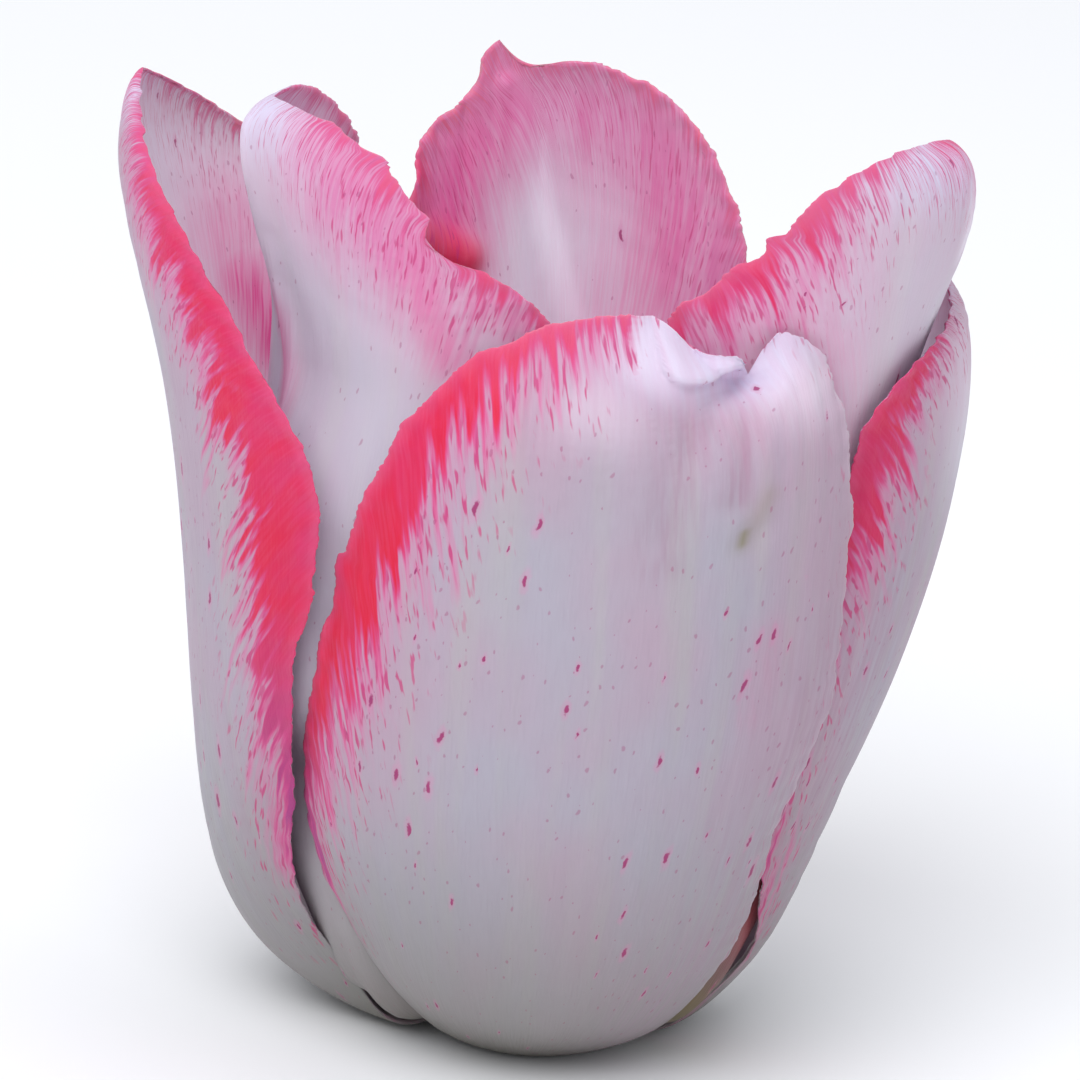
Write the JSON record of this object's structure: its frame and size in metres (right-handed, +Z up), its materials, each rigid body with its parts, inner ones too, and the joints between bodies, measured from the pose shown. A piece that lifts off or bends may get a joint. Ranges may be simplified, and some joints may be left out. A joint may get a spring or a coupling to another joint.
{
  "type": "tulip bloom",
  "caption": "Half-open tulip bloom, picked without its stem: broad pale petals with finely toothed, red-flamed margins cupped round a pistil and stamens, resting upright on its base.",
  "frame": {"origin": "centre of the receptacle's cut underside, on the surface that the bloom rests on", "axes": "+Z up along the bloom's axis, -Y towards the side that the picture shows, +X to the viewer's right"},
  "size_m": [0.0573, 0.0507, 0.0652],
  "materials": {
    "outer_tepal": "soft satin petal, lilac white with coral-crimson flames from the margins",
    "inner_tepal": "soft satin petal, lilac white with coral-crimson flames from the margins",
    "receptacle": "fleshy green stem tissue, waxy and matt",
    "pistil": "smooth pale green, with a downy cream stigma",
    "filament": "smooth pale stalk, darker at its foot",
    "anther": "dark plum, powdered with pollen"
  },
  "bodies": {
    "root": {"tepal_outer_front": "outer_tepal", "tepal_outer_left": "outer_tepal", "tepal_outer_right": "outer_tepal", "tepal_inner_front_left": "inner_tepal", "tepal_inner_front_right": "inner_tepal", "tepal_inner_back": "inner_tepal", "receptacle": "receptacle", "pistil": "pistil", "filament_1": "filament", "filament_2": "filament", "filament_3": "filament", "filament_4": "filament", "filament_5": "filament", "filament_6": "filament", "anther_1": "anther", "anther_2": "anther", "anther_3": "anther", "anther_4": "anther", "anther_5": "anther", "anther_6": "anther"}
  },
  "joints": []
}
